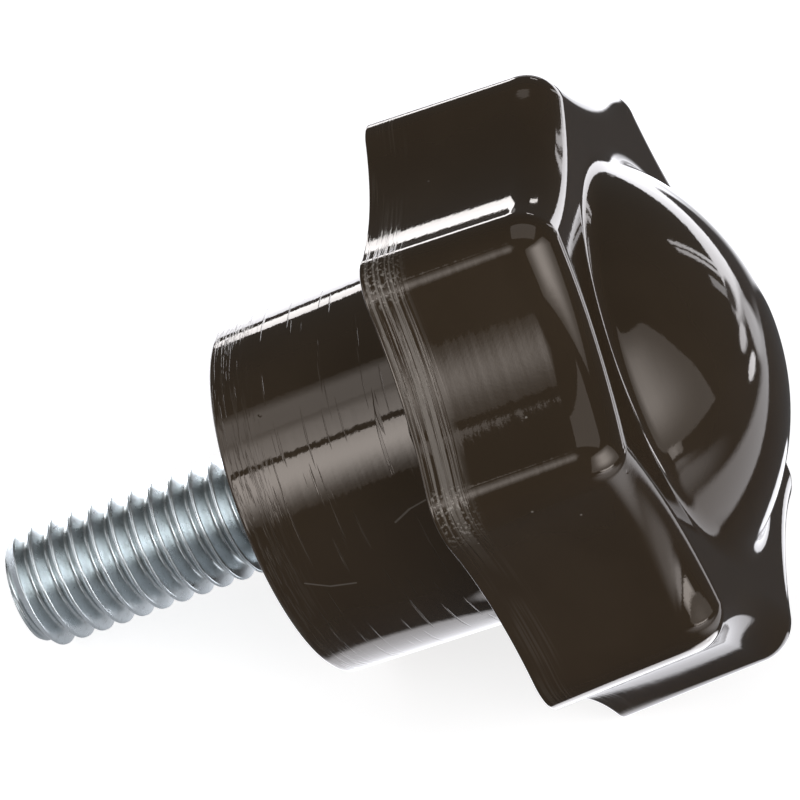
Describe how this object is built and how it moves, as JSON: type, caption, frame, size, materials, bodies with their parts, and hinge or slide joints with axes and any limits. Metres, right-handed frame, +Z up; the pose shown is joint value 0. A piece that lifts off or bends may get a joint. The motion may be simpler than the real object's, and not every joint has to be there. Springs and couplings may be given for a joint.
{
  "type": "fluted clamping knob with a threaded stud",
  "caption": "Round clamping knob with a fluted grip, a low dome and a short hub, moulded in black plastic around a threaded steel stud.",
  "frame": {"origin": "on the bench that the knob lies on, under the middle of the part's bounding box", "axes": "+Z up from the bench. +X along the knob from the stud's end to the dome; the knob's own axis leans 25.8 degrees up from +X in the XZ plane, because the knob lies on two neighbouring ridges and the end of its stud. +Y across the knob"},
  "size_m": [0.0496, 0.0388, 0.039],
  "materials": {
    "moulding": "glossy moulded thermoset, black, with fine handling scratches",
    "steel": "bright zinc plate over a rolled thread"
  },
  "bodies": {
    "root": {"knob_body": "moulding", "threaded_stud": "steel"}
  },
  "joints": []
}
